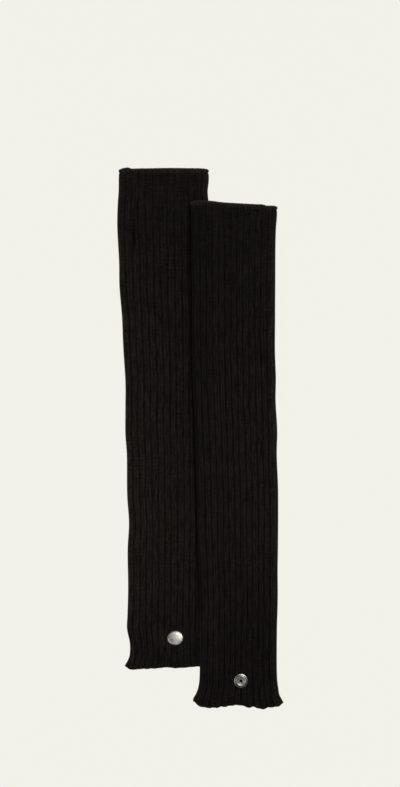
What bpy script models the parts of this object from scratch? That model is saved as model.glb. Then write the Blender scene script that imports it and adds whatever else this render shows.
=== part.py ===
"""A pair of black rib-knit arm warmers, laid flat with the right one over the left one's edge.

Each warmer is a seamless tube whose front and back lie on each other, with a bound-off upper edge,
a fluted hem and one press snap near the hem. Metres, +Z up: +X is to the right, +Y towards the upper
edges, and the pair rests on Z = 0 with the origin under the middle of its box.
"""

import math

import bmesh
import bpy
from mathutils import Euler, Vector

MM = 0.001

# The knit: a 2-by-1 rib, with the same number of ribs round each tube
WALL = 1.8 * MM
RIB_HEIGHT = 0.8 * MM
RIBS_ROUND = 27
RIB_CREST = (0.20, 0.80)  # where a crest starts and ends, as shares of the rib's pitch
PLAIN_RIBS = range(-5, 6)  # the ribs of the underside, which lies flat
SHARP_ANGLE = math.radians(40)

# How the tube lies: its walls are folded over at the sides and come close in the middle
FOLD_RADIUS = 1.6 * MM  # to the middle of the wall
FRONT_SAG = 0.9 * MM
SAG_REACH = 13.0 * MM
FOLD_RIBS = 1.6  # to each side of a fold: the ribs whose crests are on the inside too
CLEARANCE = 0.45 * MM  # between one piece and the next

# The right warmer climbs over the left one's folded edge
STEP_WIDTH = 16.0 * MM
STEP_INSET = 0.5 * MM  # from the left warmer's edge
STEP_END = 22.0 * MM  # how far past the left warmer's hem the climb dies away

# The upper edge: bound off, which pulls the ribs flat
TOP_SLANT = 90.0 * MM  # how far down the slant of the edge carries
TOP_FLAT = 45.0 * MM
TOP_RELIEF = 0.6
BIND_DEPTH = 3.0 * MM
BIND_RELIEF = 0.35

# The hem: stretched as it is finished, so that it flutes
HEM_DEPTH = 24.0 * MM
HEM_CURVE = 1.5  # how sharply it flares
HEM_GAPE = 1.0 * MM
HEM_FLUTE = 2.0 * MM
HEM_COVER = 6.0 * MM  # over which the flutes die away, beside what lies on them
FLUTES_ROUND = 18
FLUTE_PHASE = 0.6

# The rings of a tube. Columns: from, to (millimetres down from the upper edge), how many
RINGS = ((0, 3, 1), (3, 9, 1), (9, 402, 16), (402, 438, 9), (438, 450, 4))

# Columns of the sides: millimetres down from the upper edge, x of the left side, x of the right side
DOWN, LEFT, RIGHT = 0, 1, 2
LEFT_SIDES = (
    (0, -73.7, 7.4),
    (9, -73.8, 7.7),
    (20, -73.9, 6.6),
    (30, -74.6, 7.4),
    (52, -75.1, 8.1),
    (84, -73.4, 7.9),
    (106, -73.1, 7.8),
    (133, -70.8, 7.7),
    (160, -69.6, 7.7),
    (192, -67.7, 7.6),
    (214, -67.9, 7.5),
    (238, -67.9, 7.4),
    (257, -66.4, 7.2),
    (295, -66.0, 7.2),
    (319, -64.5, 7.2),
    (343, -65.7, 7.0),
    (376, -65.3, 6.8),
    (403, -65.9, 6.5),
    (414, -66.2, 6.3),
    (427, -63.6, 5.9),
    (438, -63.7, 5.9),
    (444, -65.4, 7.0),
    (450, -68.4, 9.0),
)
RIGHT_SIDES = (
    (0, -8.5, 69.0),
    (9, -8.3, 68.8),
    (20, -8.2, 67.9),
    (41, -8.0, 67.2),
    (86, -7.4, 67.1),
    (133, -7.1, 66.8),
    (155, -6.7, 67.6),
    (176, -5.9, 67.4),
    (203, -5.0, 68.9),
    (225, -4.1, 68.4),
    (257, -3.2, 69.6),
    (307, -1.9, 69.5),
    (329, -1.1, 69.2),
    (356, -0.5, 69.3),
    (382, -0.2, 68.6),
    (414, -0.6, 68.4),
    (428, -0.8, 68.8),
    (436, -1.9, 69.8),
    (442, -3.8, 70.8),
    (447, -6.2, 73.3),
    (450, -6.4, 74.6),
)

# Columns of the edges: across the tube from -1 at its left side to 1 at its right, drop in millimetres
DROP = 1
LEFT_TOP = ((-1, 1.6), (-0.93, 0.2), (-0.8, -0.7), (-0.72, 0.6), (-0.3, 0.1), (0.1, -0.3), (0.6, 0.0),
            (0.9, 0.4), (1, 1.6))
RIGHT_TOP = ((-1, -0.8), (-0.9, -2.6), (-0.57, -2.8), (-0.29, -1.5), (0.12, -0.6), (0.54, 0.3), (0.68, 0.5),
             (0.76, 1.5), (0.95, 1.8), (1, 3.0))
LEFT_HEM = ((-1, -2.6), (-0.88, 0.9), (-0.65, 0.6), (-0.4, 0.1), (0.0, -1.4), (0.12, -0.6), (0.3, -0.7),
            (0.55, -1.4), (0.85, -2.4), (1, -4.5))
RIGHT_HEM = ((-1, -3.2), (-0.9, 1.5), (-0.72, 3.3), (-0.59, 3.3), (-0.28, 1.9), (0.01, 0.5), (0.26, 3.2),
             (0.35, 2.3), (0.53, 4.5), (0.67, 2.9), (0.84, 2.0), (0.93, 0.9), (1, -1.0))

# The press snaps: turned profiles from the top down the outer side, radius and height in millimetres
SNAP_STEPS = 24
SNAP_RELIEF = 0.25  # how much of the ribs' height is left where a snap presses on them
RELIEF_FLAT = 8.0 * MM
RELIEF_REACH = 12.0 * MM
SEAT_FLAT = 8.0 * MM
SEAT_REACH = 26.0 * MM
SEAT_LEVEL = 7.5 * MM  # from here outwards the tilted seat levels off
SEAT_EASE = 2.0 * MM  # over which it does so
CAP_PROFILE = ((0.0, 2.6), (2.6, 2.5), (4.8, 2.1), (6.4, 1.5), (7.3, 0.8), (7.35, 0.35), (7.0, 0.0))
PLATE_PROFILE = ((0.0, 0.9), (5.3, 0.8), (5.5, 0.3), (5.2, 0.0))
SOCKET_PROFILE = ((4.3, 2.15), (4.75, 1.8), (4.9, 0.75), (5.4, 0.8), (5.8, 1.05), (6.2, 0.85), (6.25, 0.3),
                  (6.0, 0.0), (1.9, 0.0), (1.9, 0.75), (3.4, 0.8), (3.5, 1.7), (3.8, 2.05))
SOCKET_FLOOR = 0.8 * MM  # of its well, above its seat
POST_RADIUS = 1.55 * MM
POST_BORE = 1.0 * MM
POST_LIP_RADIUS = 2.7 * MM
POST_LIP = 0.5 * MM
POST_HOLE = 2.05 * MM  # in the cloth
POST_HOLE_SEGMENTS = 16

# Linear colour, roughness and metallic value of each material
FINISHES = {
    "black_rib_knit": ((0.0075, 0.0062, 0.0056), 0.92, 0.0),
    "nickel_plate": ((0.62, 0.60, 0.57), 0.3, 1.0),
}

# Places in the part's own frame, each snap's height to the middle of the wall, and its tilt in degrees
WARMERS = {
    "left": {
        "upper_edge": 243.0 * MM,
        "sides": LEFT_SIDES,
        "top": LEFT_TOP,
        "hem": LEFT_HEM,
        "is_upper": False,
        "snap": {"x": -22.8 * MM, "y": -179.4 * MM, "height": 7.9 * MM, "tilt": 26.0, "cap_outside": True},
    },
    "right": {
        "upper_edge": 211.0 * MM,
        "sides": RIGHT_SIDES,
        "top": RIGHT_TOP,
        "hem": RIGHT_HEM,
        "is_upper": True,
        "snap": {"x": 36.4 * MM, "y": -218.0 * MM, "height": 4.9 * MM, "tilt": 4.0, "cap_outside": False},
    },
}


def clear_scene():
    for obj in list(bpy.data.objects):
        bpy.data.objects.remove(obj, do_unlink=True)


def new_collection(name):
    collection = bpy.data.collections.new(name)
    bpy.context.scene.collection.children.link(collection)
    return collection


def new_material(name):
    colour, roughness, metallic = FINISHES[name]
    material = bpy.data.materials.new(name)
    material.use_nodes = True
    shader = material.node_tree.nodes["Principled BSDF"]
    shader.inputs["Base Color"].default_value = (*colour, 1.0)
    shader.inputs["Roughness"].default_value = roughness
    shader.inputs["Metallic"].default_value = metallic
    return material


def ease(value):
    """0 up to 0, 1 from 1 on, and a smooth rise between them."""
    value = min(max(value, 0.0), 1.0)
    return value * value * (3.0 - 2.0 * value)


def mix(start, end, share):
    return start + (end - start) * share


def read_curve(rows, column, at):
    """A smooth curve through one column of a table, whose first column is the place along it."""
    last = len(rows) - 1
    at = min(max(at, rows[0][0]), rows[last][0])
    low = max(i for i in range(last) if rows[i][0] <= at)
    start, end = rows[low], rows[low + 1]

    def slope(i):
        before, after = rows[max(i - 1, 0)], rows[min(i + 1, last)]
        return (after[column] - before[column]) / (after[0] - before[0])

    run = end[0] - start[0]
    t = (at - start[0]) / run
    return (
        start[column] * (1 + 2 * t) * (1 - t) ** 2
        + slope(low) * run * t * (1 - t) ** 2
        + end[column] * t * t * (3 - 2 * t)
        + slope(low + 1) * run * t * t * (t - 1)
    )


def length_of(warmer):
    return warmer["sides"][-1][DOWN] * MM


def side_x(warmer, down, column):
    """The x of a side of the warmer, at a distance down from its upper edge."""
    return read_curve(warmer["sides"], column, down / MM) * MM


def climb(x, y):
    """How high the right warmer is lifted over the left one's folded edge."""
    left = WARMERS["left"]
    stack = 2 * FOLD_RADIUS + WALL + RIB_HEIGHT + CLEARANCE
    down = left["upper_edge"] - y
    edge = side_x(left, down, RIGHT) - STEP_INSET
    beside = ease((x - edge) / STEP_WIDTH)
    below = ease((down - length_of(left)) / STEP_END)
    return stack * (1 - beside) * (1 - below)


def ring_places(warmer):
    """Distances down from the upper edge to each ring."""
    places = [0.0]
    for start, end, count in RINGS:
        places += [mix(start, end, (i + 1) / count) * MM for i in range(count)]
    stretch = length_of(warmer) / places[-1]
    return [place * stretch for place in places]


def ring_columns():
    """The points round a ring: share of the way round from the underside's middle, relief, inside too."""
    columns = []
    first = -(RIBS_ROUND // 2)
    for rib in range(first, first + RIBS_ROUND):
        near_fold = abs(abs(rib) - RIBS_ROUND / 4) < FOLD_RIBS
        columns.append((rib / RIBS_ROUND, 0.0, True))
        if rib not in PLAIN_RIBS:
            columns += [((rib + place) / RIBS_ROUND, 1.0, near_fold) for place in RIB_CREST]
    return columns


def flattened_ring(share, half_width):
    """The middle of the wall at a share of the way round: its place, outward normal, share of the front."""
    straight = half_width - WALL / 2 - FOLD_RADIUS
    arc = math.pi * FOLD_RADIUS
    along = abs(share) * (4 * straight + 2 * arc)
    if along < straight:
        x, turn = along, 0.0
    elif along < straight + arc:
        turn = (along - straight) / FOLD_RADIUS
        x = straight + FOLD_RADIUS * math.sin(turn)
    else:
        x, turn = 2 * straight + arc - along, math.pi
    side = math.copysign(1.0, share)
    front = (1 - math.cos(turn)) / 2
    sag = FRONT_SAG * ease((straight - x) / SAG_REACH) * front
    place = Vector((side * x, 0.0, WALL / 2 + 2 * FOLD_RADIUS * front - sag))
    return place, Vector((side * math.sin(turn), 0.0, -math.cos(turn))), front


def hem_rise(warmer, share, x, y):
    """How far the front of the hem stands off the floor: least where the other warmer lies on it."""
    wave = 0.5 + 0.5 * math.sin(2 * math.pi * FLUTES_ROUND * share + FLUTE_PHASE)
    rise = HEM_GAPE + HEM_FLUTE * wave
    if not warmer["is_upper"]:
        upper = WARMERS["right"]
        cover = side_x(upper, upper["upper_edge"] - y, LEFT) - HEM_COVER / 2
        rise *= ease((cover - x) / HEM_COVER)
    return rise


def snap_centre(warmer):
    """The middle of the front wall under a snap."""
    snap = warmer["snap"]
    lift = climb(snap["x"], snap["y"]) if warmer["is_upper"] else 0.0
    return Vector((snap["x"], snap["y"], snap["height"] + lift))


def seat_height(warmer, y):
    """The height of the front wall where it rests on the snap's inner half."""
    snap, offset = warmer["snap"], y - warmer["snap"]["y"]
    beyond = max(abs(offset) - SEAT_LEVEL, 0.0)
    run = min(abs(offset), SEAT_LEVEL) + SEAT_EASE * (1 - math.exp(-beyond / SEAT_EASE))
    return snap_centre(warmer).z - math.copysign(run, offset) * math.tan(math.radians(snap["tilt"]))


def wall_points(warmer, down, share, relief):
    """The outer and the inner point of the tube's wall at one place."""
    left, right = side_x(warmer, down, LEFT), side_x(warmer, down, RIGHT)
    half_width = (right - left - RIB_HEIGHT) / 2
    place, normal, front = flattened_ring(share, half_width)

    # the edges are a little slanted and wavy
    across = place.x / half_width
    near_top = 1 - ease(down / TOP_SLANT)
    near_hem = ease(1 - (length_of(warmer) - down) / HEM_DEPTH) ** HEM_CURVE
    top_drop, hem_drop = read_curve(warmer["top"], DROP, across), read_curve(warmer["hem"], DROP, across)
    drop = near_top * top_drop + near_hem * hem_drop
    place.x += (left + right) / 2
    place.y = warmer["upper_edge"] - down - drop * MM

    # the front rises in flutes at the hem, and the whole tube climbs over what lies under it
    place.z += front * near_hem * hem_rise(warmer, share, place.x, place.y)
    if warmer["is_upper"]:
        place.z += climb(place.x, place.y)

    # the front bulges over the snap's inner half, and its ribs are pressed flat there
    centre = snap_centre(warmer)
    reach = math.hypot(place.x - centre.x, place.y - centre.y)
    bulge = front * (1 - ease((reach - SEAT_FLAT) / (SEAT_REACH - SEAT_FLAT)))
    place.z = mix(place.z, seat_height(warmer, place.y), bulge)
    pressed = front * (1 - ease((reach - RELIEF_FLAT) / (RELIEF_REACH - RELIEF_FLAT)))
    relief *= mix(1.0, SNAP_RELIEF, pressed)

    # the ribs fade towards the upper edge, and grow round the fold from the plain underside
    relief *= BIND_RELIEF if down < BIND_DEPTH else mix(TOP_RELIEF, 1.0, ease(down / TOP_FLAT))
    thickness = WALL / 2 + relief * RIB_HEIGHT * ease(2 * front)
    return place + normal * thickness, place - normal * WALL / 2


def knit_tube(name, warmer, material, collection):
    """Lofts a warmer's rings into one wall, open at both ends, ribbed outside and plain inside."""
    columns = ring_columns()
    inside = [i for i, (_, _, is_inside) in enumerate(columns) if is_inside]
    mesh = bmesh.new()
    outer_rings, inner_rings = [], []
    for down in ring_places(warmer):
        points = [wall_points(warmer, down, share, relief) for share, relief, _ in columns]
        outer_rings.append([mesh.verts.new(outer) for outer, _ in points])
        inner_rings.append([mesh.verts.new(points[i][1]) for i in inside])
    for rings in (outer_rings, inner_rings):
        for upper, lower in zip(rings, rings[1:]):
            for i in range(len(upper)):
                mesh.faces.new((upper[i - 1], upper[i], lower[i], lower[i - 1]))
    for end in (0, -1):  # the rims at the upper edge and the hem
        outer, inner = outer_rings[end], inner_rings[end]
        for i, (start, stop) in enumerate(zip(inside, inside[1:] + [len(columns)])):
            rim = [outer[k % len(columns)] for k in range(start, stop + 1)]
            mesh.faces.new(rim + [inner[(i + 1) % len(inner)], inner[i]])
    bmesh.ops.recalc_face_normals(mesh, faces=mesh.faces)
    return finish_object(name, mesh, material, collection)


def turned_piece(name, profile, place, turn, material, collection):
    """A profile turned round its own Z axis, then set in place with that axis turned about X."""
    mesh = bmesh.new()
    line = [mesh.verts.new((radius, 0.0, height)) for radius, height in profile]
    is_ring = all(radius > 0 for radius, _ in profile)
    for start, end in zip(line, line[1:] + line[:1] if is_ring else line[1:]):
        mesh.edges.new((start, end))
    obj = finish_object(name, mesh, material, collection)
    obj.location = place
    obj.rotation_euler = (turn, 0.0, 0.0)
    lathe = obj.modifiers.new("lathe", "SCREW")
    lathe.axis = "Z"
    lathe.steps = lathe.render_steps = SNAP_STEPS
    lathe.use_merge_vertices = True
    lathe.merge_threshold = 0.01 * MM
    lathe.use_smooth_shade = True
    return obj


def in_metres(profile):
    return [(radius * MM, height * MM) for radius, height in profile]


def head_profile(head, cloth):
    """A snap's head with its tubular post, which goes through the cloth and is clenched in the socket."""
    well = -(cloth + SOCKET_FLOOR + CLEARANCE)
    tip = well - POST_LIP
    post = [(POST_RADIUS, 0.0), (POST_RADIUS, well), (POST_LIP_RADIUS, well), (POST_LIP_RADIUS, tip),
            (POST_BORE, tip), (POST_BORE, well), (0.0, well)]
    return in_metres(head) + post


def press_snap(side, warmer, material, collection):
    """The two halves of a press snap, on either face of the front wall."""
    centre = snap_centre(warmer)
    tilt = math.radians(warmer["snap"]["tilt"])
    gaps = {"outside": WALL / 2 + SNAP_RELIEF * RIB_HEIGHT + CLEARANCE, "inside": WALL / 2 + CLEARANCE}
    turns = {"outside": -tilt, "inside": math.pi - tilt}
    if warmer["snap"]["cap_outside"]:
        head_name, head, head_face, socket_face = f"{side}_snap_cap", CAP_PROFILE, "outside", "inside"
    else:
        head_name, head, head_face, socket_face = f"{side}_snap_plate", PLATE_PROFILE, "inside", "outside"
    profiles = {head_face: head_profile(head, sum(gaps.values())), socket_face: in_metres(SOCKET_PROFILE)}
    names = {head_face: head_name, socket_face: f"{side}_snap_socket"}
    for face in gaps:
        away = Vector((0.0, 0.0, 1.0))
        away.rotate(Euler((turns[face], 0.0, 0.0)))
        place = centre + away * gaps[face]
        turned_piece(names[face], profiles[face], place, turns[face], material, collection)


def punch_hole(tube, side, warmer, cutters):
    """Cuts the hole for the snap's post through the front wall only."""
    mesh = bmesh.new()
    depth = 2 * (WALL + RIB_HEIGHT)
    bmesh.ops.create_cone(mesh, cap_ends=True, segments=POST_HOLE_SEGMENTS, depth=depth,
                          radius1=POST_HOLE, radius2=POST_HOLE)
    cutter = finish_object(f"{side}_post_hole", mesh, None, cutters)
    cutter.location = snap_centre(warmer)
    cutter.rotation_euler = (-math.radians(warmer["snap"]["tilt"]), 0.0, 0.0)
    cutter.hide_render = True
    cutter.display_type = "WIRE"
    hole = tube.modifiers.new("post_hole", "BOOLEAN")
    hole.operation = "DIFFERENCE"
    hole.object = cutter


def finish_object(name, mesh, material, collection):
    data = bpy.data.meshes.new(name)
    mesh.to_mesh(data)
    mesh.free()
    data.shade_smooth()
    data.set_sharp_from_angle(angle=SHARP_ANGLE)
    if material:
        data.materials.append(material)
    obj = bpy.data.objects.new(name, data)
    collection.objects.link(obj)
    return obj


def main():
    clear_scene()
    parts = new_collection("arm_warmers")
    cutters = new_collection("cutters")
    knit = new_material("black_rib_knit")
    nickel = new_material("nickel_plate")
    for side, warmer in WARMERS.items():
        tube = knit_tube(f"{side}_warmer", warmer, knit, parts)
        punch_hole(tube, side, warmer, cutters)
        press_snap(side, warmer, nickel, parts)


main()
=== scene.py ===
import math

import bmesh
import bpy
from mathutils import Euler, Matrix, Vector, noise


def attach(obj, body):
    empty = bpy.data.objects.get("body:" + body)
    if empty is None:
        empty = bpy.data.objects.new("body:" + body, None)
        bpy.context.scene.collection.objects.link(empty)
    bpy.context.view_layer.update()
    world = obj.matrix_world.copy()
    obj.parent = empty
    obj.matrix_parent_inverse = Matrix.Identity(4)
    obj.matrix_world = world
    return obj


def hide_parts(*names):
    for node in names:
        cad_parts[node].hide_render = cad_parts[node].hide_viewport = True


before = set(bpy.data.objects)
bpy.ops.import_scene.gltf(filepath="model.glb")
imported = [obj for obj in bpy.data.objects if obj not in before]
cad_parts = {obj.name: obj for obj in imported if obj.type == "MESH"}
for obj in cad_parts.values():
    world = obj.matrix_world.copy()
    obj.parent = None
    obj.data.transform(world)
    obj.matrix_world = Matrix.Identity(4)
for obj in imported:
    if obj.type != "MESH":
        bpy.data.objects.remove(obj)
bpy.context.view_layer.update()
print("frame loaded:", ", ".join(sorted(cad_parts)))

mm = 0.001
weldGap = 0.002 * mm  # closer points than this are one


# Small sums that every piece uses

def ease(value):
    value = min(max(value, 0.0), 1.0)
    return value * value * (3.0 - 2.0 * value)


def mix(start, end, share):
    return start + (end - start) * share


def bell(distance, width):
    return math.exp(-((distance / width) ** 2))


def readCurve(rows, column, at):  # a smooth curve through one column of a table
    last = len(rows) - 1
    at = min(max(at, rows[0][0]), rows[last][0])
    low = max(i for i in range(last) if rows[i][0] <= at)
    start, end = rows[low], rows[low + 1]

    def slope(i):
        before, after = rows[max(i - 1, 0)], rows[min(i + 1, last)]
        return (after[column] - before[column]) / (after[0] - before[0])

    run = end[0] - start[0]
    t = (at - start[0]) / run
    return (
        start[column] * (1 + 2 * t) * (1 - t) ** 2
        + slope(low) * run * t * (1 - t) ** 2
        + end[column] * t * t * (3 - 2 * t)
        + slope(low + 1) * run * t * t * (t - 1)
    )


# Materials

def toLinear(hexColour):
    channels = [int(hexColour[i:i + 2], 16) / 255 for i in (1, 3, 5)]
    return (*[c / 12.92 if c <= 0.04045 else ((c + 0.055) / 1.055) ** 2.4 for c in channels], 1.0)


# an input is a value, or a socket to link; what comes back is the node's outputs
def addNode(tree, kind, inputs=(), **settings):
    node = tree.nodes.new(kind)
    for name, value in settings.items():
        setattr(node, name, value)
    for key, value in inputs.items() if isinstance(inputs, dict) else enumerate(inputs):
        if isinstance(value, bpy.types.NodeSocket):
            tree.links.new(value, node.inputs[key])
        else:
            node.inputs[key].default_value = value
    return node.outputs


def newMaterial(name):
    material = bpy.data.materials.new(name)
    material.use_nodes = True
    material.node_tree.nodes.clear()
    return material, material.node_tree


# What a sleeve's mesh tells its material at each point: how much painted shade darkens it, how strongly
# the ribs show, and how much painted light brightens it
clothLayers = ("paintedShade", "ribbed", "paintedLight")

# Wool-blend rib knit, dyed black: a matt, fuzzy yarn that swallows light, a little
# marled, so the wales show as broken streaks of warm black, with painted shade down in the purls
ribKnitFinish = {
    "yarn": "#1b1815",
    "roughness": 0.95,
    "specular": 0.04,
    "sheen": 0.2,
    "sheenRoughness": 0.6,
    "sheenTint": "#8a8076",
    "wales": 3.0,  # in a rib: two knit and one purl
    "lean": 1.1,  # of a stitch's two legs, in courses
    "stitchMiddle": 0.4,
    "stitchLight": 0.5,
    "stitchRelief": 0.3,  # mm
    "fleckRelief": 0.6,  # beside the stitch's own
    "reliefStrength": 0.8,
    "marl": 1.4,
    "marlPatches": (3.2, 0.14, 1.0),  # in one rib, and in one course
    "marlDetail": 3.0,
    "marlRoughness": 0.62,
    "fleck": 1.5,
    "fleckSize": 1.3,  # mm, drawn coarser than the yarn's plies so that it shows
    "blotch": 0.2,
    "blotchSize": 22.0,  # mm
    "rows": 0.55,
    "rowPatches": (0.45, 1.1, 1.0),
    "stretchedGrain": 0.4,  # what is left of the grain where the ribs are stretched flat
    "purl": (0.28, 0.45),  # from a rib's middle, where the purl's painted shade starts and where it is full
    "purlPaintedShade": 0.62,
    "purlUneven": (0.8, 0.5),  # the purls' painted shade follows the blotches: how strongly, and the least
    "groove": (0.0, 0.1),
    "groovePaintedShade": 0.3,
    "paintedLightStrength": 0.7,
    "darkest": 0.08,
}


def makeRibKnit(name="blackRibKnit"):
    finish = ribKnitFinish
    material, tree = newMaterial(name)
    place = addNode(tree, "ShaderNodeTexCoord")["Object"]
    knitMap = addNode(tree, "ShaderNodeUVMap", uv_map="knit")["UV"]
    rib, course, _ = addNode(tree, "ShaderNodeSeparateXYZ", (knitMap,))
    paintedShade, ribbed, paintedLight = (addNode(tree, "ShaderNodeAttribute", attribute_name=layer)["Fac"]
                            for layer in clothLayers)

    # one V of yarn in each wale: its legs lean away from the wale's middle
    wale = addNode(tree, "ShaderNodeMath", (rib, finish["wales"], 0.5), operation="MULTIPLY_ADD")[0]
    wale = addNode(tree, "ShaderNodeMath", (wale,), operation="FRACT")[0]
    offMiddle = addNode(tree, "ShaderNodeMath", (wale, 0.5), operation="SUBTRACT")[0]
    offMiddle = addNode(tree, "ShaderNodeMath", (offMiddle,), operation="ABSOLUTE")[0]
    lean = addNode(tree, "ShaderNodeMath", (offMiddle, finish["lean"], course), operation="MULTIPLY_ADD")[0]
    turn = addNode(tree, "ShaderNodeMath", (lean, 2 * math.pi), operation="MULTIPLY")[0]
    wave = addNode(tree, "ShaderNodeMath", (turn,), operation="SINE")[0]
    wave = addNode(tree, "ShaderNodeMath", (wave, 0.5, 0.5), operation="MULTIPLY_ADD")[0]
    squared = addNode(tree, "ShaderNodeMath", (offMiddle, offMiddle), operation="MULTIPLY")[0]
    roundness = addNode(tree, "ShaderNodeMath", (squared, -4.0, 1.0), operation="MULTIPLY_ADD")[0]
    stitch = addNode(tree, "ShaderNodeMath", (wave, roundness), operation="MULTIPLY")[0]

    # the marl: each wale's yarn runs lighter or darker for a few stitches at a time
    marlMap = addNode(tree, "ShaderNodeVectorMath", (knitMap, finish["marlPatches"]), operation="MULTIPLY")[0]
    marl = addNode(tree, "ShaderNodeTexNoise", {"Vector": marlMap, "Scale": 1.0,
                                                "Detail": finish["marlDetail"],
                                                "Roughness": finish["marlRoughness"]})[0]
    fleck, blotch = (addNode(tree, "ShaderNodeTexNoise", {"Vector": place, "Scale": 1 / (size * mm),
                                                          "Detail": 2.0})[0]
                     for size in (finish["fleckSize"], finish["blotchSize"]))
    # a few courses at a time are a little lighter or darker, all across
    rowMap = addNode(tree, "ShaderNodeVectorMath", (knitMap, finish["rowPatches"]), operation="MULTIPLY")[0]
    rows = addNode(tree, "ShaderNodeTexNoise", {"Vector": rowMap, "Scale": 1.0, "Detail": 1.0})[0]

    # painted shade in the purl wale between two ribs, uneven in strength, and in the groove between a rib's
    # own two wales
    across = addNode(tree, "ShaderNodeMath", (rib,), operation="FRACT")[0]
    fromCrest = addNode(tree, "ShaderNodeMath", (across, 0.5), operation="SUBTRACT")[0]
    fromCrest = addNode(tree, "ShaderNodeMath", (fromCrest,), operation="ABSOLUTE")[0]
    purl = addNode(tree, "ShaderNodeMapRange", (fromCrest, *finish["purl"], 0.0, 1.0),
                   interpolation_type="SMOOTHSTEP")[0]
    groove = addNode(tree, "ShaderNodeMapRange", (fromCrest, *finish["groove"], 1.0, 0.0),
                     interpolation_type="SMOOTHSTEP")[0]
    purl = addNode(tree, "ShaderNodeMath", (purl, ribbed), operation="MULTIPLY")[0]
    uneven = addNode(tree, "ShaderNodeMath", (blotch, *finish["purlUneven"]), operation="MULTIPLY_ADD")[0]
    paintedPurlShade = addNode(tree, "ShaderNodeMath", (purl, uneven), operation="MULTIPLY")[0]

    # the tone is a sum of the patterns, each about its own middle
    grain = 0.0
    for pattern, strength in ((marl, finish["marl"]), (fleck, finish["fleck"])):
        off = addNode(tree, "ShaderNodeMath", (pattern, 0.5), operation="SUBTRACT")[0]
        grain = addNode(tree, "ShaderNodeMath", (off, 2 * strength, grain), operation="MULTIPLY_ADD")[0]
    left = finish["stretchedGrain"]
    share = addNode(tree, "ShaderNodeMath", (ribbed, 1 - left, left), operation="MULTIPLY_ADD")[0]
    tone = addNode(tree, "ShaderNodeMath", (grain, share, 1.0), operation="MULTIPLY_ADD")[0]
    for pattern, middle, strength in ((blotch, 0.5, 2 * finish["blotch"]), (rows, 0.5, 2 * finish["rows"]),
                                      (stitch, finish["stitchMiddle"], finish["stitchLight"])):
        off = addNode(tree, "ShaderNodeMath", (pattern, middle), operation="SUBTRACT")[0]
        tone = addNode(tree, "ShaderNodeMath", (off, strength, tone), operation="MULTIPLY_ADD")[0]
    # then painted shade darkens it down in the purls and grooves, painted light brightens it along edges, and
    # the mesh's painted shade takes its light
    for pattern, strength in ((paintedPurlShade, -finish["purlPaintedShade"]), (groove, -finish["groovePaintedShade"]),
                              (paintedLight, finish["paintedLightStrength"])):
        factor = addNode(tree, "ShaderNodeMath", (pattern, strength, 1.0), operation="MULTIPLY_ADD")[0]
        tone = addNode(tree, "ShaderNodeMath", (tone, factor), operation="MULTIPLY")[0]
    tone = addNode(tree, "ShaderNodeMath", (tone, finish["darkest"]), operation="MAXIMUM")[0]
    # the painted shade from the mesh takes away this share of the colour
    lit = addNode(tree, "ShaderNodeMath", (1.0, paintedShade), operation="SUBTRACT")[0]
    tone = addNode(tree, "ShaderNodeMath", (tone, lit), operation="MULTIPLY")[0]
    yarn = toLinear(finish["yarn"])[:3]
    colour = addNode(tree, "ShaderNodeVectorMath", {0: yarn, "Scale": tone}, operation="SCALE")[0]

    relief = finish["fleckRelief"]
    height = addNode(tree, "ShaderNodeMath", (fleck, relief, stitch), operation="MULTIPLY_ADD")[0]
    bump = addNode(tree, "ShaderNodeBump", {"Strength": finish["reliefStrength"], "Height": height,
                                            "Distance": finish["stitchRelief"] * mm})[0]
    shader = addNode(tree, "ShaderNodeBsdfPrincipled", {
        "Base Color": colour,
        "Normal": bump,
        "Roughness": finish["roughness"],
        "Specular IOR Level": finish["specular"],
        "Sheen Weight": finish["sheen"],
        "Sheen Roughness": finish["sheenRoughness"],
        "Sheen Tint": toLinear(finish["sheenTint"]),
    })[0]
    addNode(tree, "ShaderNodeOutputMaterial", {"Surface": shader})
    return material


# Spun polyester thread, black: smoother than the wool, so it catches a thin light
overlockThread = {
    "light": "#25211d",
    "dark": "#12100e",
    "twist": 0.7,  # mm
    "relief": 0.1,  # mm
    "reliefStrength": 0.5,
    "roughness": 0.55,
    "specular": 0.2,
}
# The knit's own yarn, drawn tight in the bound-off row, coloured a little lighter than the ribs as painted
# light along the upper edge
paintedLightBoundYarn = {
    "light": "#4a4239",
    "dark": "#2a241f",
    "twist": 0.9,
    "relief": 0.1,
    "reliefStrength": 0.5,
    "roughness": 0.9,
    "specular": 0.06,
}


def makeThread(name, finish):
    material, tree = newMaterial(name)
    place = addNode(tree, "ShaderNodeTexCoord")["Object"]
    twist = addNode(tree, "ShaderNodeTexNoise", {"Vector": place, "Scale": 1 / (finish["twist"] * mm),
                                                 "Detail": 2.0})[0]
    dark, light = toLinear(finish["dark"]), toLinear(finish["light"])
    colour = addNode(tree, "ShaderNodeMix", {0: twist, 6: dark, 7: light}, data_type="RGBA")[2]
    bump = addNode(tree, "ShaderNodeBump", {"Strength": finish["reliefStrength"], "Height": twist,
                                            "Distance": finish["relief"] * mm})[0]
    shader = addNode(tree, "ShaderNodeBsdfPrincipled", {
        "Base Color": colour,
        "Normal": bump,
        "Roughness": finish["roughness"],
        "Specular IOR Level": finish["specular"],
    })[0]
    addNode(tree, "ShaderNodeOutputMaterial", {"Surface": shader})
    return material


# Brass pressing, satin nickel plated: a soft grey-white mirror with fine rub marks and specks,
# and a little painted shade down in the bowl of a socket
nickelFinish = {
    "plate": "#dad7d0",
    "rubbed": "#b5b1a8",
    "roughness": 0.24,
    "rubbedRoughness": 0.4,
    "rubSize": 2.2,  # mm
    "rubRange": (0.45, 0.7),  # of the noise, from clean to rubbed
    "speckSize": 1.4,
    "speckRange": (0.47, 0.68),
    "speckDark": 0.5,
    "bowlPaintedShade": 0.15,
    "dentSize": 1.6,
    "dentDepth": 0.08,  # mm
    "dentStrength": 0.35,
}


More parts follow.
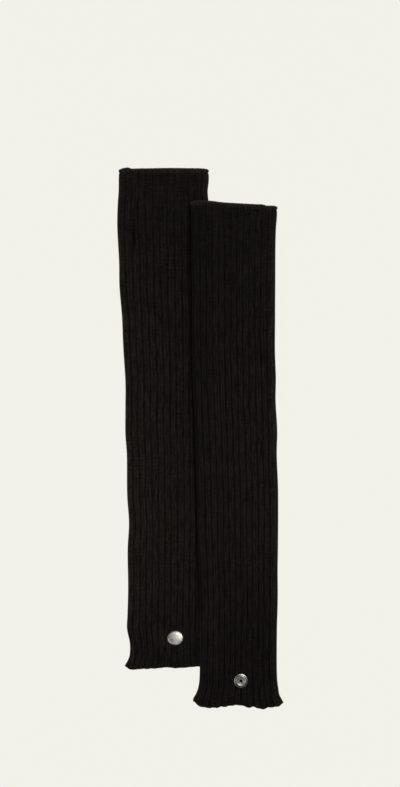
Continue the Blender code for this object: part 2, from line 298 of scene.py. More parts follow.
def makeNickel(name="satinNickelPlate"):
    finish = nickelFinish
    material, tree = newMaterial(name)
    place = addNode(tree, "ShaderNodeTexCoord")["Object"]
    rub = addNode(tree, "ShaderNodeTexNoise", {"Vector": place, "Scale": 1 / (finish["rubSize"] * mm),
                                               "Detail": 5.0, "Roughness": 0.6})[0]
    rubbed = addNode(tree, "ShaderNodeMapRange", (rub, *finish["rubRange"], 0.0, 1.0))[0]
    new, worn = toLinear(finish["plate"]), toLinear(finish["rubbed"])
    colour = addNode(tree, "ShaderNodeMix", {0: rubbed, 6: new, 7: worn}, data_type="RGBA")[2]
    specks = addNode(tree, "ShaderNodeTexNoise", {"Vector": place, "Scale": 1 / (finish["speckSize"] * mm),
                                                  "Detail": 4.0})[0]
    specked = addNode(tree, "ShaderNodeMapRange", (specks, *finish["speckRange"], 0.0, 1.0))[0]
    bowl = addNode(tree, "ShaderNodeAttribute", attribute_name="bowl")["Fac"]
    clean = addNode(tree, "ShaderNodeMath", (specked, -finish["speckDark"], 1.0), operation="MULTIPLY_ADD")[0]
    # painted shade: the bowl of a socket is a little darker
    bright = addNode(tree, "ShaderNodeMath", (bowl, -finish["bowlPaintedShade"], 1.0), operation="MULTIPLY_ADD")[0]
    bright = addNode(tree, "ShaderNodeMath", (clean, bright), operation="MULTIPLY")[0]
    plate = addNode(tree, "ShaderNodeVectorMath", {0: colour, "Scale": bright}, operation="SCALE")[0]
    smooth = finish["roughness"]
    rougher = finish["rubbedRoughness"] - smooth
    rough = addNode(tree, "ShaderNodeMath", (rubbed, rougher, smooth), operation="MULTIPLY_ADD")[0]
    dents = addNode(tree, "ShaderNodeTexNoise", {"Vector": place, "Scale": 1 / (finish["dentSize"] * mm),
                                                 "Detail": 1.0})[0]
    bump = addNode(tree, "ShaderNodeBump", {"Strength": finish["dentStrength"], "Height": dents,
                                            "Distance": finish["dentDepth"] * mm})[0]
    shader = addNode(tree, "ShaderNodeBsdfPrincipled", {"Base Color": plate, "Metallic": 1.0,
                                                        "Roughness": rough, "Normal": bump})[0]
    addNode(tree, "ShaderNodeOutputMaterial", {"Surface": shader})
    return material


def keepPiece(name, data, material):  # a finished mesh or curve, in the frame's one body
    piece = bpy.data.objects.new(name, data)
    bpy.context.scene.collection.objects.link(piece)
    data.materials.append(material)
    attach(piece, "root")
    return piece


def meshFrom(mesh, name):
    data = bpy.data.meshes.new(name)
    mesh.to_mesh(data)
    mesh.free()
    data.shade_smooth()
    return data


# The sleeves: two seamless tubes of 2-by-1 rib, front laid on back, the right over the left
knit = {
    "wall": 1.8 * mm,
    "hemWall": 1.2 * mm,
    "hemThinning": 8.0 * mm,
    "ribHeight": 0.8 * mm,
    "undersideRelief": 0.35 * mm,
    "ribsRound": 27,
    "purlWidth": 0.16,  # of a rib's pitch
    "grooveWidth": 0.10,
    "grooveDepth": 0.40,  # of the rib's height, between its two knit wales
    "course": 2.0 * mm,  # a little taller than the real stitch, so that it shows
    "wander": 0.14,  # of a rib's pitch, how far a rib strays from a straight line
    "wanderRound": 4.0,  # how quickly that changes round the tube
    "wanderDown": 55.0 * mm,  # and down it
    "creaseEnds": 0.3,  # the smaller, the blunter a crease ends
    "paintedShadeMost": 0.97,  # the most light that the painted shade takes
}

# The mesh's points: crowded in the purls and grooves, and close together near the two edges
points = {
    "perRib": 12,
    "crowding": 0.022,
    "outerStops": (5.0 * mm, 20.0 * mm, 400.0 * mm, 440.0 * mm),  # down the outer face
    "outerRows": (6, 6, 95, 30, 11),  # before, between and after those
    "innerStep": 3,  # mm, up the inner face from the hem
    "innerSteps": 18,
    "innerRest": 30,
    "turn": 5,  # round each edge
}

# How the tubes lie on the table and on each other, and over their snaps
lay = {
    "foldRadius": 1.6 * mm,
    "sag": 0.9 * mm,
    "sagReach": 13.0 * mm,
    "clearance": 0.45 * mm,
    "climbWidth": 16.0 * mm,
    "climbInset": 0.5 * mm,
    "climbEnd": 22.0 * mm,
    "overlapEnd": 415.0 * mm,  # how far down the right sleeve lies on the left one
    "puff": 0.5 * mm,  # how far the front lifts here and there
    "puffSize": 38.0 * mm,
    "puffLow": -0.2,  # of that, how far it sinks elsewhere
    "puffStop": 6.0 * mm,  # across the line where the upper sleeve starts to press the lower one flat
    "seatFlat": 8.0 * mm,  # round a snap, where the front lies on its inner half
    "seatReach": 26.0 * mm,
    "seatLevel": 7.5 * mm,  # from here outwards the tilted seat levels off
    "seatEase": 2.0 * mm,
    "pressedRelief": 0.25,  # of the ribs' height, what is left under a snap
    "pressedEase": 1.8 * mm,
}

# Painted shade in the gap between the sleeves, beside the upper one's folded edge, where no light gets in
gap = {
    "start": 3.0 * mm,
    "fadeFrom": 325.0 * mm,  # how far down it starts to close
    "fade": 80.0 * mm,
    "upper": 1.5 * mm,  # how much of the upper sleeve's rim gets the gap's full painted shade
    "upperEase": 0.5 * mm,
    "lower": 1.0 * mm,  # and how much of the lower sleeve beside it
    "lowerEase": 1.1 * mm,
    "shade": 0.27,  # further in, the upper sleeve still gets a little painted shade
    "shadeWidth": 34.0 * mm,
}

# The two ends of a tube: its bound-off upper edge and its fluted hem
edges = {
    "topSlant": 90.0 * mm,
    "topFlat": 45.0 * mm,
    "topRelief": 0.6,
    "topRibbed": 0.6,  # how strongly the ribs show at the upper edge, where the knit is stretched flat
    "ribbedFrom": 130.0 * mm,
    "bindGroove": 2.9 * mm,  # below the edge, under the bound-off row
    "bindGrooveWidth": 0.7 * mm,
    "bindGrooveDepth": 0.45 * mm,
    "hemDepth": 24.0 * mm,
    "hemCurve": 1.5,
    "hemGape": 1.0 * mm,
    "hemFlute": 2.0 * mm,
    "paintedRimWidth": 3.6 * mm,  # painted light along folds and edges
    "paintedSideLight": 0.26,  # and fainter painted light over the outer half of a sleeve
    "paintedSideLightWidth": 22.0 * mm,
    "paintedTopLightDown": 2.1 * mm,
    "paintedTopLightWidth": 1.9 * mm,
    "paintedHemLightUp": 2.0 * mm,
    "paintedHemLightWidth": 1.4 * mm,
    "paintedFlareLight": 0.32,  # painted light over the stretched flare of the hem
    "paintedFlareLightWidth": 13.0 * mm,
    "flutesRound": 18,
    "flutePhase": 0.6,
    "frillsRound": 23,
    "frillPhase": 1.0,  # how far its rise lags behind its reach
    "paintedEndShadeReach": 140.0 * mm,
}

# The two sleeves, as the outlines in the picture and the snaps place them
leftWarmer = {
    "node": "left_warmer",
    "upperEdge": 243.0 * mm,
    "isUpper": False,
    "seed": 0.0,
    "frontStretch": 0.07,
    "sides": (  # down from the upper edge, left x, right x, all in mm
        (0, -73.7, 7.4), (9, -73.8, 7.7), (20, -73.9, 6.6), (30, -74.6, 7.4), (52, -75.1, 8.1),
        (84, -73.4, 7.9), (106, -73.1, 7.8), (133, -70.8, 7.7), (160, -69.6, 7.7), (192, -67.7, 7.6),
        (214, -67.9, 7.5), (238, -67.9, 7.4), (257, -66.4, 7.2), (295, -66.0, 7.2), (319, -64.5, 7.2),
        (343, -65.7, 7.0), (376, -65.3, 6.8), (403, -65.9, 6.5), (414, -66.2, 6.3), (427, -63.6, 5.9),
        (438, -63.7, 5.9), (444, -65.4, 7.0), (450, -68.4, 9.0),
    ),
    "top": (  # across from -1 to 1, drop of the edge in mm
        (-1, 1.6), (-0.93, 0.1), (-0.8, -0.8), (-0.72, 0.2), (-0.55, 0.0), (-0.3, -0.1), (0.1, -0.4),
        (0.6, -0.2), (0.9, 0.2), (1, 1.4),
    ),
    "hem": (
        (-1, -2.9), (-0.88, 0.6), (-0.65, 0.3), (-0.4, 0.0), (-0.2, -0.5), (0.0, -1.3), (0.12, -0.6),
        (0.3, -0.7), (0.55, -1.4), (0.85, -2.4), (1, -4.5),
    ),
    "snap": {
        "x": -22.5 * mm,
        "y": -179.7 * mm,
        "height": 7.9 * mm,  # of the cloth's middle under it
        "tilt": math.radians(30),
        "pressed": 6.8 * mm,  # how far round it the ribs are flat
    },
    "paintedEndShade": (340.0 * mm, 0.25),  # from here down to the hem the sleeve gets this much painted shade
    "paintedTopLight": 1.9,  # how much painted light brightens the upper edge, and below, the hem
    "paintedHemLight": 0.9,
    "frill": 0.07 * mm,  # the small waves of the hem's own edge
    "creases": (  # in front or at the back: x, and y of the lower and upper end, width, depth and lean, in mm
        ("front", -59.9, 169.5, 196.0, 1.5, 1.6, 0.0),
        ("front", -52.0, 120.0, 142.0, 1.5, 0.35, 1.5),
        ("back", -44.0, 96.0, 148.0, 1.8, 0.9, 3.0),
        ("back", -22.0, -70.0, -38.0, 1.5, 0.7, -2.0),
        ("back", -58.0, -152.0, -128.0, 1.3, 0.8, 1.0),
    ),
}

rightWarmer = {
    "node": "right_warmer",
    "upperEdge": 211.0 * mm,
    "isUpper": True,
    "seed": 500.0,
    "frontStretch": 0.0,
    "sides": (
        (0, -8.5, 69.0), (9, -8.3, 68.8), (20, -8.2, 67.9), (41, -8.0, 67.2), (86, -7.4, 67.1),
        (133, -7.1, 66.8), (155, -6.7, 67.6), (176, -5.9, 67.4), (203, -5.0, 68.9), (225, -4.1, 68.4),
        (257, -3.2, 69.6), (307, -1.9, 69.5), (329, -1.1, 69.2), (356, -0.5, 69.3), (382, -0.2, 68.6),
        (414, -0.6, 68.4), (428, -0.8, 68.8), (436, -1.9, 69.8), (442, -3.8, 70.8), (447, -6.2, 73.3),
        (450, -6.4, 74.6),
    ),
    "top": (
        (-1, -0.8), (-0.9, -2.6), (-0.57, -2.5), (-0.29, -1.5), (0.12, -0.6), (0.54, 0.3), (0.68, 0.5),
        (0.76, 1.5), (0.95, 1.8), (1, 3.0),
    ),
    "hem": (
        (-1, -3.4), (-0.9, 1.2), (-0.72, 3.0), (-0.59, 3.3), (-0.4, 2.5), (-0.28, 2.0), (0.01, 0.7),
        (0.26, 3.1), (0.35, 2.3), (0.53, 4.5), (0.67, 3.0), (0.84, 2.3), (0.93, 1.1), (1, -1.0),
    ),
    "snap": {
        "x": 36.4 * mm,
        "y": -218.0 * mm,
        "height": 4.9 * mm,
        "tilt": math.radians(4),
        "pressed": 5.6 * mm,
    },
    "paintedEndShade": (265.0 * mm, 0.26),
    "paintedTopLight": 1.3,
    "paintedHemLight": 0.75,
    "frill": 0.22 * mm,
    "creases": (
        ("front", 52.0, 96.0, 121.0, 1.5, 0.3, -1.5),
        ("back", 41.0, 118.0, 159.0, 1.7, 0.85, -2.5),
        ("back", 25.0, -121.0, -84.0, 1.5, 0.75, 2.0),
    ),
}


def lengthOf(warmer):
    return warmer["sides"][-1][0] * mm


def sideAt(warmer, down, column):
    return readCurve(warmer["sides"], column, down / mm) * mm


def climb(x, y):  # the lift of the right sleeve over the left one's folded edge
    stack = 2 * lay["foldRadius"] + knit["wall"] + knit["ribHeight"] + lay["clearance"]
    down = leftWarmer["upperEdge"] - y
    beside = ease((x - sideAt(leftWarmer, down, 2) + lay["climbInset"]) / lay["climbWidth"])
    below = ease((down - lengthOf(leftWarmer)) / lay["climbEnd"])
    return stack * (1 - beside) * (1 - below)


def uncovered(warmer, x, y):  # 1 where nothing lies on the sleeve, 0 where the other one does
    if warmer["isUpper"]:
        return 1.0
    down = rightWarmer["upperEdge"] - y
    if down < -lay["puffSize"]:
        return 1.0
    cover = sideAt(rightWarmer, down, 1) - lay["puffStop"] / 2
    return ease((cover - x) / lay["puffStop"])


def paintedGapShade(warmer, x, y):  # painted shade: 1 in the gap and on its two rims, 0 where it throws no shade
    down = rightWarmer["upperEdge"] - y
    along = ease(down / gap["start"]) * (1 - ease((down - gap["fadeFrom"]) / gap["fade"]))
    if along == 0:
        return 0.0
    fromEdge = x - sideAt(rightWarmer, down, 1)
    if warmer["isUpper"]:
        rim = bell(max(fromEdge - gap["upper"], 0.0), gap["upperEase"])
        return along * max(rim, gap["shade"] * bell(fromEdge, gap["shadeWidth"]))
    return along * bell(max(-fromEdge - gap["lower"], 0.0), gap["lowerEase"])


def rowAt(warmer, down):  # what is the same all round the sleeve at one distance down
    length = lengthOf(warmer)
    left, right = sideAt(warmer, down, 1), sideAt(warmer, down, 2)
    groove = edges["bindGrooveDepth"] * bell(down - edges["bindGroove"], edges["bindGrooveWidth"])
    return {
        "down": down,
        "middle": (left + right) / 2,
        "halfWidth": (right - left - knit["ribHeight"]) / 2,
        "nearTop": 1 - ease(down / edges["topSlant"]),
        "nearHem": ease(1 - (length - down) / edges["hemDepth"]) ** edges["hemCurve"],
        "wall": mix(knit["hemWall"], knit["wall"], ease((length - down) / knit["hemThinning"])),
        "relief": knit["ribHeight"] * mix(edges["topRelief"], 1.0, ease(down / edges["topFlat"])),
        "ribbed": mix(edges["topRibbed"], 1.0, ease(down / edges["ribbedFrom"])),
        "groove": groove,
        # painted shade, deeper towards the hem
        "shade": warmer["paintedEndShade"][1] * ease((down - warmer["paintedEndShade"][0]) / edges["paintedEndShadeReach"]),
        "paintedLight": max(warmer["paintedTopLight"] * bell(down - edges["paintedTopLightDown"], edges["paintedTopLightWidth"]),
                    warmer["paintedHemLight"] * bell(length - down - edges["paintedHemLightUp"], edges["paintedHemLightWidth"]),
                    edges["paintedFlareLight"] * bell(length - down, edges["paintedFlareLightWidth"])),
    }


def ribRelief(place):  # 0 down in a purl wale, 1 on a knit wale
    fromPurl = abs(place - round(place))
    groove = knit["grooveDepth"] * bell(0.5 - fromPurl, knit["grooveWidth"])
    return 1 - bell(fromPurl, knit["purlWidth"]) - groove


# where round the tube a rib runs: it strays, and is stretched wider in front
def ribShare(warmer, place, down):
    turn = 2 * math.pi * place / knit["ribsRound"]
    reach = knit["wanderRound"]
    along = down / knit["wanderDown"] + warmer["seed"]
    seat = Vector((reach * math.cos(turn), reach * math.sin(turn), along))
    stray = knit["wander"] * noise.noise(seat) / knit["ribsRound"]
    return place / knit["ribsRound"] + stray - warmer["frontStretch"] * math.sin(turn) / (2 * math.pi)


def seatHeight(snap, y):  # the height of the front where it rests on the snap's inner half
    offset = y - snap["y"]
    beyond = max(abs(offset) - lay["seatLevel"], 0.0)
    run = min(abs(offset), lay["seatLevel"]) + lay["seatEase"] * (1 - math.exp(-beyond / lay["seatEase"]))
    return snap["height"] - math.copysign(run, offset) * math.tan(snap["tilt"])


# a point of the wall's middle round the flattened tube, its way out, and 1 in front or 0 at the back
def flattenedRing(share, halfWidth, wall):
    straight = halfWidth - wall / 2 - lay["foldRadius"]
    arc = math.pi * lay["foldRadius"]
    along = abs(share) * (4 * straight + 2 * arc)
    if along < straight:
        x, turn = along, 0.0
    elif along < straight + arc:
        turn = (along - straight) / lay["foldRadius"]
        x = straight + lay["foldRadius"] * math.sin(turn)
    else:
        x, turn = 2 * straight + arc - along, math.pi
    side = math.copysign(1.0, share)
    front = (1 - math.cos(turn)) / 2
    sag = lay["sag"] * ease((straight - x) / lay["sagReach"]) * front
    middle = Vector((side * x, 0.0, wall / 2 + 2 * lay["foldRadius"] * front - sag))
    return middle, Vector((side * math.sin(turn), 0.0, -math.cos(turn))), front


# place: in ribs round the tube; across: 1 at the wall's outer face, -1 at the inner one
def clothPoint(warmer, row, place, across):
    share = ribShare(warmer, place, row["down"])
    middle, normal, front = flattenedRing((share + 0.5) % 1.0 - 0.5, row["halfWidth"], row["wall"])
    sideways = middle.x / row["halfWidth"]
    drop = 0.0
    if row["nearTop"] > 0:
        drop += row["nearTop"] * readCurve(warmer["top"], 1, sideways) * mm
    if row["nearHem"] > 0:
        drop += row["nearHem"] * readCurve(warmer["hem"], 1, sideways) * mm
        drop += row["nearHem"] * warmer["frill"] * math.sin(2 * math.pi * edges["frillsRound"] * share)
    x = middle.x + row["middle"]
    y = warmer["upperEdge"] - row["down"] - drop
    z = middle.z
    free = front * uncovered(warmer, x, y)
    z += free * lay["puff"] * max(noise.noise(Vector((x, y, 0.0)) / lay["puffSize"]), lay["puffLow"])
    if row["nearHem"] > 0:
        flute = 0.5 + 0.5 * math.sin(2 * math.pi * edges["flutesRound"] * share + edges["flutePhase"])
        frill = math.sin(2 * math.pi * edges["frillsRound"] * share + edges["frillPhase"])
        z += free * row["nearHem"] * (edges["hemGape"] + edges["hemFlute"] * flute + warmer["frill"] * frill)
    if warmer["isUpper"]:
        z += climb(x, y)
    # the front rides over the snap's inner half, and its ribs are pressed flat under the outer half
    snap, relief = warmer["snap"], row["relief"]
    reach = math.hypot(x - snap["x"], y - snap["y"])
    if reach < lay["seatReach"]:
        away = ease((reach - lay["seatFlat"]) / (lay["seatReach"] - lay["seatFlat"]))
        z = mix(z, seatHeight(snap, y), front * (1 - away))
        pressed = front * (1 - ease((reach - snap["pressed"]) / lay["pressedEase"]))
        relief *= mix(1.0, lay["pressedRelief"], pressed)
    rib = 1 - (1 - ribRelief(place)) * row["ribbed"]
    raised = ease(2 * front)
    outer = row["wall"] / 2 - row["groove"]
    outer += raised * relief * rib - (1 - raised) * knit["undersideRelief"] * (1 - rib)
    # painted shade on the outer face: in the gap beside the upper sleeve, and deeper towards the hem
    paintedShade = max(raised * paintedGapShade(warmer, x, y), row["shade"]) if across > 0 else 0.0
    for face, creaseX, bottom, top, width, depth, lean in warmer["creases"]:
        along = (y / mm - bottom) / (top - bottom)
        if 0 < along < 1:
            onFace = raised if face == "front" else 1 - raised
            offLine = x / mm - creaseX - lean * (along - 0.5)
            dent = onFace * bell(offLine, width) * math.sin(math.pi * along) ** knit["creaseEnds"]
            outer -= depth * mm * dent
            # and painted shade in the crease, as strong as the crease is deep
            paintedShade = max(paintedShade, dent * min(depth, 1.0))
    point = Vector((x, y, z)) + normal * mix(-row["wall"] / 2, outer, (across + 1) / 2)
    # painted light along the free folds and over a sleeve's outer half, none on the fold lying on the other
    # sleeve
    overlap = warmer["isUpper"] and middle.x < 0 and row["down"] < lay["overlapEnd"]
    fromSide = row["halfWidth"] - (middle.x if overlap else abs(middle.x))
    side = bell(fromSide, edges["paintedRimWidth"])
    if middle.x < 0 and not overlap:
        side = max(side, edges["paintedSideLight"] * bell(fromSide, edges["paintedSideLightWidth"]))
    paintedLight = max(row["paintedLight"], side) * max(across, 0.0)
    return point, knit["paintedShadeMost"] * paintedShade, paintedLight


def wallPath(warmer):  # down the outer face, round the hem, up the inner face and round the upper edge
    length = lengthOf(warmer)
    half = knit["wall"] / 2
    stops = (half, *points["outerStops"], length - half)
    outer = [half]
    for start, end, count in zip(stops, stops[1:], points["outerRows"]):
        outer += [mix(start, end, (i + 1) / count) for i in range(count)]
    inner = [length - half - i * points["innerStep"] * mm for i in range(points["innerSteps"])]
    rest = points["innerRest"]
    inner += [mix(inner[-1], half, (i + 1) / rest) for i in range(rest)]
    turns = [math.pi * (i + 1) / points["turn"] for i in range(points["turn"] - 1)]
    path = [(down, 1.0) for down in outer]
    path += [(length - half + half * math.sin(turn), math.cos(turn)) for turn in turns]
    path += [(down, -1.0) for down in inner]
    path += [(half - half * math.sin(turn), -math.cos(turn)) for turn in turns]
    return path + path[:1]


def crowded(place):
    return place - points["crowding"] * math.sin(4 * math.pi * place)


def knitSleeve(name, warmer, material):
    path = wallPath(warmer)
    rowCount, pointCount = len(path) - 1, knit["ribsRound"] * points["perRib"]
    mesh = bmesh.new()
    bmesh.ops.create_grid(mesh, x_segments=pointCount, y_segments=rowCount, size=0.5)
    knitMap = mesh.loops.layers.uv.new("knit")
    paintedShade, ribbed, paintedLight = (mesh.verts.layers.float.new(layer) for layer in clothLayers)
    for face in mesh.faces:
        for loop in face.loops:
            flat = loop.vert.co
            down = path[round((flat.y + 0.5) * rowCount)][0]
            place = crowded((flat.x + 0.5) * knit["ribsRound"])
            loop[knitMap].uv = (place, down / knit["course"] + warmer["seed"])
    rows = [rowAt(warmer, down) for down, _ in path]
    for vert in mesh.verts:
        i = round((vert.co.y + 0.5) * rowCount)
        place = crowded((vert.co.x + 0.5) * knit["ribsRound"])
        vert.co, vert[paintedShade], vert[paintedLight] = clothPoint(warmer, rows[i], place, path[i][1])
        vert[ribbed] = rows[i]["ribbed"]
    bmesh.ops.remove_doubles(mesh, verts=mesh.verts, dist=weldGap)
    bmesh.ops.recalc_face_normals(mesh, faces=mesh.faces)
    piece = keepPiece(name, meshFrom(mesh, name), material)
    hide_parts(warmer["node"])
    return piece


# The edge threads: a helix of thread round the rim of a sleeve
hemThread = {
    "turns": 270,
    "strands": 1,
    "thread": 0.2 * mm,  # radius
    "inset": 0.6 * mm,  # from the edge
    "out": 0.0,  # how far it stands off the cloth
    "reach": 0.7,  # round the edge, of the wall's half thickness
    "pointsPerTurn": 8,
}
bindChain = {
    "turns": 58,
    "strands": 2,
    "thread": 0.38 * mm,
    "inset": 1.0 * mm,
    "out": 0.08 * mm,
    "reach": 1.0,
    "pointsPerTurn": 10,
}


def edgeThread(name, warmer, atHem, thread, material):
    down = lengthOf(warmer) - thread["inset"] if atHem else thread["inset"]
    row = rowAt(warmer, down)
    count = thread["turns"] * thread["pointsPerTurn"]
    curve = bpy.data.curves.new(name, "CURVE")
    curve.dimensions = "3D"
    curve.bevel_depth = thread["thread"]
    curve.bevel_resolution = 1
    away = Vector((0, -1, 0)) if atHem else Vector((0, 1, 0))
    for strand in range(thread["strands"]):
        spline = curve.splines.new("POLY")
        spline.points.add(count - 1)
        spline.use_cyclic_u = True
        for i in range(count):
            place = knit["ribsRound"] * i / count
            outside, inside = (clothPoint(warmer, row, place, across)[0] for across in (1.0, -1.0))
            centre, half = (outside + inside) / 2, (outside - inside) / 2
            half = half.normalized() * (half.length + thread["out"])
            turn = 2 * math.pi * (i / thread["pointsPerTurn"] + strand / thread["strands"])
            point = centre + half * math.cos(turn) + away * thread["reach"] * half.length * math.sin(turn)
            point.z = max(point.z, thread["thread"])
            spline.points[i].co = (*point, 1.0)
    return keepPiece(name, curve, material)


# The press snaps: turned pressings, radius and height in mm, from the middle outwards
snapCap = {
    "outline": ((0.0, 2.25), (1.6, 2.2), (3.2, 2.04), (4.7, 1.79), (5.7, 1.52), (6.35, 1.28), (6.85, 0.95),
                (7.2, 0.6), (7.35, 0.3), (7.35, 0.05), (7.2, -0.2), (6.8, -0.3), (1.6, -0.3), (1.6, -3.0),
                (0.0, -3.0)),
    "bowl": 0.0,  # radius of the inside with painted shade
    "steps": 72,
}
snapSocket = {
    "outline": ((4.15, 2.24), (4.4, 2.12), (4.75, 1.85), (5.0, 1.54), (5.12, 1.2), (5.27, 0.92), (5.7, 0.62),
                (6.15, 0.34), (6.27, 0.18), (6.1, 0.0), (5.6, 0.0), (2.0, 0.0), (2.0, 0.47), (2.1, 0.56),
                (2.55, 0.84), (3.0, 1.19), (3.4, 1.56), (3.7, 1.88), (3.95, 2.15)),
    "bowl": 2.6,
    "steps": 72,
}
snapPost = {
    "outline": ((1.15, 0.3), (1.2, 0.6), (1.38, 0.85), (1.6, 1.05), (1.8, 1.12), (2.02, 1.02), (2.15, 0.8),
                (2.08, 0.64), (1.5, 0.56), (1.5, -2.6), (1.15, -2.6)),
    "bowl": 3.0,
    "steps": 48,
}
snapPlate = {
    "outline": ((0.0, 0.75), (4.6, 0.7), (5.2, 0.5), (5.5, 0.2), (5.3, 0.0), (1.4, 0.0), (1.4, -1.6),
                (0.0, -1.6)),
    "bowl": 0.0,
    "steps": 48,
}
snapSpring = {  # radii and height in mm, and the gap in degrees
    "radius": 2.36,
    "wire": 0.18,
    "height": 1.04,
    "gap": 28.0,
    "wireSides": 10,
    "steps": 56,
}
snapRise = {"cap": 0.45 * mm, "socket": 0.15 * mm, "inside": 0.1 * mm}  # off the wall, over the pressed ribs
sharpAngle = math.radians(50)  # pressed edges sharper than this stay crisp


def turnedMesh(shape):
    outline, steps = shape["outline"], shape["steps"]
    mesh = bmesh.new()
    bowl = mesh.verts.layers.float.new("bowl")
    line = [mesh.verts.new((radius * mm, 0.0, height * mm)) for radius, height in outline]
    for vert, (radius, _) in zip(line, outline):
        vert[bowl] = 1.0 if radius < shape["bowl"] else 0.0
    isRing = outline[0][0] > 0
    for start, end in zip(line, line[1:] + line[:1] if isRing else line[1:]):
        mesh.edges.new((start, end))
    bmesh.ops.spin(mesh, geom=mesh.verts[:] + mesh.edges[:], cent=(0, 0, 0), axis=(0, 0, 1),
                   angle=2 * math.pi, steps=steps, use_merge=True)
    bmesh.ops.remove_doubles(mesh, verts=mesh.verts, dist=weldGap)
    bmesh.ops.recalc_face_normals(mesh, faces=mesh.faces)
    return mesh


def snapPlace(warmer, rise, facing):  # facing: 1 outside the sleeve, -1 inside it
    snap = warmer["snap"]
    height = snap["height"] + (climb(snap["x"], snap["y"]) if warmer["isUpper"] else 0.0)
    turn = -snap["tilt"] if facing > 0 else math.pi - snap["tilt"]
    out = Vector((0, 0, 1))
    out.rotate(Euler((turn, 0, 0)))
    centre = Vector((snap["x"], snap["y"], height)) + out * (knit["wall"] / 2 + rise)
    return Matrix.Translation(centre) @ Matrix.Rotation(turn, 4, "X")


def snapPiece(name, shape, place, material):
    mesh = turnedMesh(shape)
    bmesh.ops.transform(mesh, matrix=place, verts=mesh.verts)
    data = meshFrom(mesh, name)
    data.set_sharp_from_angle(angle=sharpAngle)
    return keepPiece(name, data, material)


def springRing(name, place, material):  # the split wire that grips the stud
    spring = snapSpring
    mesh = bmesh.new()
    bmesh.ops.create_circle(mesh, segments=spring["wireSides"], radius=spring["wire"] * mm, cap_ends=True)
    upright = Matrix.Rotation(math.pi / 2, 4, "X")
    stand = Matrix.Translation((spring["radius"] * mm, 0, spring["height"] * mm)) @ upright
    bmesh.ops.transform(mesh, matrix=stand, verts=mesh.verts)
    bmesh.ops.spin(mesh, geom=mesh.faces[:], cent=(0, 0, 0), axis=(0, 0, 1),
                   angle=math.radians(360 - spring["gap"]), steps=spring["steps"])
    bmesh.ops.recalc_face_normals(mesh, faces=mesh.faces)
    bmesh.ops.transform(mesh, matrix=place, verts=mesh.verts)
    return keepPiece(name, meshFrom(mesh, name), material)


# The light table that the pair lies on, and the studio lights
studio = {
    "table": "#f1f1e9",
    "tableGlow": 0.99,  # how much of its colour is its own light
    "glow": 1.005,
    "tableSize": 30.0,
    "tableDrop": 0.2 * mm,  # below the sleeves' undersides, so that they don't share a face
    "sky": 0.08,
    # wide in degrees; at softEdge of that the light ends and is full
    "softbox": {"towards": (0.20, 0.05, 0.97), "wide": 34, "softEdge": (1.15, 0.8), "bright": 0.4},
    # the higher the spread, the narrower the light
    "window": {
        "towards": (0.35, 0.90, 0.25),
        "spread": 5.0,
        "bright": 1.3,
        "coreSpread": 30.0,
        "coreBright": 1.9,
    },
    "reflector": {"towards": (-0.85, 0.15, 0.50), "spread": 7.0, "bright": 0.7},
    "lamp": {"place": (-0.057, -0.098, 0.272), "tilt": math.radians(37), "size": 0.2, "power": 0.3},
}


# Opal acrylic sheet lit from below: an even pale glow that hides all but the faintest shadow
def makeTable():
    material, tree = newMaterial("acrylicLightTable")
    colour = toLinear(studio["table"])
    glow = addNode(tree, "ShaderNodeEmission", {"Color": colour, "Strength": studio["glow"]})[0]
    matt = addNode(tree, "ShaderNodeBsdfDiffuse", {"Color": colour})[0]
    both = addNode(tree, "ShaderNodeMixShader", (1 - studio["tableGlow"], glow, matt))[0]
    addNode(tree, "ShaderNodeOutputMaterial", {"Surface": both})
    mesh = bmesh.new()
    bmesh.ops.create_grid(mesh, x_segments=1, y_segments=1, size=studio["tableSize"] / 2)
    bmesh.ops.translate(mesh, verts=mesh.verts, vec=(0, 0, -studio["tableDrop"]))
    data = meshFrom(mesh, "light_table")
    data.materials.append(material)
    table = bpy.data.objects.new("light_table", data)
    bpy.context.scene.collection.objects.link(table)
    return table


def makeLight():
    world = bpy.data.worlds.new("studio")
    world.use_nodes = True
    tree = world.node_tree
    tree.nodes.clear()
    direction = addNode(tree, "ShaderNodeTexCoord")["Generated"]
    box, window, card = studio["softbox"], studio["window"], studio["reflector"]
    toBox, toWindow, toCard = (
        addNode(tree, "ShaderNodeVectorMath", (direction, Vector(source["towards"]).normalized()),
                operation="DOT_PRODUCT")["Value"]
        for source in (box, window, card)
    )
    edge, full = (math.cos(math.radians(box["wide"]) * share) for share in box["softEdge"])
    above = addNode(tree, "ShaderNodeMapRange", (toBox, edge, full, 0.0, box["bright"]))[0]
    ahead = addNode(tree, "ShaderNodeMath", (toWindow, 0.0), operation="MAXIMUM")[0]
    side = addNode(tree, "ShaderNodeMath", (ahead, window["spread"]), operation="POWER")[0]
    side = addNode(tree, "ShaderNodeMath", (side, window["bright"]), operation="MULTIPLY")[0]
    core = addNode(tree, "ShaderNodeMath", (ahead, window["coreSpread"]), operation="POWER")[0]
    side = addNode(tree, "ShaderNodeMath", (core, window["coreBright"], side), operation="MULTIPLY_ADD")[0]
    opposite = addNode(tree, "ShaderNodeMath", (toCard, 0.0), operation="MAXIMUM")[0]
    opposite = addNode(tree, "ShaderNodeMath", (opposite, card["spread"]), operation="POWER")[0]
    total = addNode(tree, "ShaderNodeMath", (above, studio["sky"]), operation="ADD")[0]
    total = addNode(tree, "ShaderNodeMath", (opposite, card["bright"], total), operation="MULTIPLY_ADD")[0]
    total = addNode(tree, "ShaderNodeMath", (side, total), operation="ADD")[0]
    sky = addNode(tree, "ShaderNodeBackground", {"Color": (1, 1, 1, 1), "Strength": total})[0]
    addNode(tree, "ShaderNodeOutputWorld", {"Surface": sky})
    bpy.context.scene.world = world
    near = studio["lamp"]
    light = bpy.data.lights.new("near_lamp", "AREA")
    light.size = near["size"]
    light.energy = near["power"]
    lamp = bpy.data.objects.new("near_lamp", light)
    lamp.location = near["place"]
    lamp.rotation_euler = (near["tilt"], 0, 0)
    lamp.visible_camera = False
    lamp.visible_glossy = False
    bpy.context.scene.collection.objects.link(lamp)


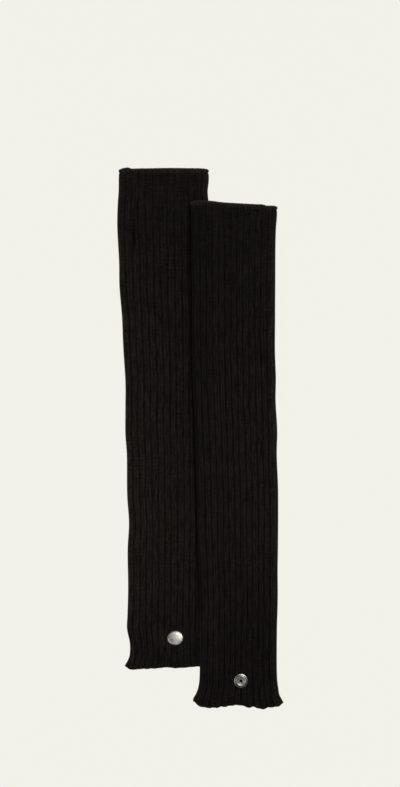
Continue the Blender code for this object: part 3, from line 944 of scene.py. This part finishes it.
# The camera looks straight down, in the photograph's frame
photo = {
    "width": 400,
    "height": 787,
    "mmPerPixel": 0.9,
    "originPixel": (200.5, 438.6),  # where the part's own origin lies in the picture
    "cameraHeight": 2.5,
    "sensor": 24.0,  # mm
    "scaleHeight": 4.0 * mm,  # the height at which a pixel is that many mm
    "clipStart": 0.01,
}


def makeCamera():
    scale = photo["mmPerPixel"] * mm
    x = (photo["width"] / 2 - photo["originPixel"][0]) * scale
    y = (photo["originPixel"][1] - photo["height"] / 2) * scale
    camera = bpy.data.cameras.new("camera")
    camera.sensor_fit = "VERTICAL"
    camera.sensor_height = photo["sensor"]
    camera.lens = photo["sensor"] * (photo["cameraHeight"] - photo["scaleHeight"]) / (photo["height"] * scale)
    camera.clip_start = photo["clipStart"]
    holder = bpy.data.objects.new("camera", camera)
    holder.location = (x, y, photo["cameraHeight"])
    bpy.context.scene.collection.objects.link(holder)
    bpy.context.scene.camera = holder
    bpy.context.scene.view_settings.view_transform = "Standard"


def build():
    makeCamera()
    makeLight()
    table = makeTable()
    print("studio ready")
    ribKnit, nickel = makeRibKnit(), makeNickel()
    overlock = makeThread("blackOverlockThread", overlockThread)
    paintedLightYarn = makeThread("blackBoundYarnPaintedLight", paintedLightBoundYarn)
    print("materials ready")
    for side, warmer in (("left", leftWarmer), ("right", rightWarmer)):
        sleeve = knitSleeve(f"{side}_sleeve", warmer, ribKnit)
        hem = edgeThread(f"{side}_hem_thread", warmer, True, hemThread, overlock)
        bind = edgeThread(f"{side}_bound_edge", warmer, False, bindChain, paintedLightYarn)
        print(side, "sleeve ready:", len(sleeve.data.polygons), "faces")

    cap = snapPiece("left_cap", snapCap, snapPlace(leftWarmer, snapRise["cap"], 1), nickel)
    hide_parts("left_snap_cap")
    backSocket = snapPiece("left_socket", snapSocket, snapPlace(leftWarmer, snapRise["inside"], -1), nickel)
    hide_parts("left_snap_socket")
    facing = snapPlace(rightWarmer, snapRise["socket"], 1)
    socket = snapPiece("right_socket", snapSocket, facing, nickel)
    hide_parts("right_snap_socket")
    snapPiece("right_post", snapPost, facing, nickel)
    springRing("right_spring", facing, nickel)
    plate = snapPiece("right_plate", snapPlate, snapPlace(rightWarmer, snapRise["inside"], -1), nickel)
    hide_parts("right_snap_plate")
    print("snaps ready")


build()
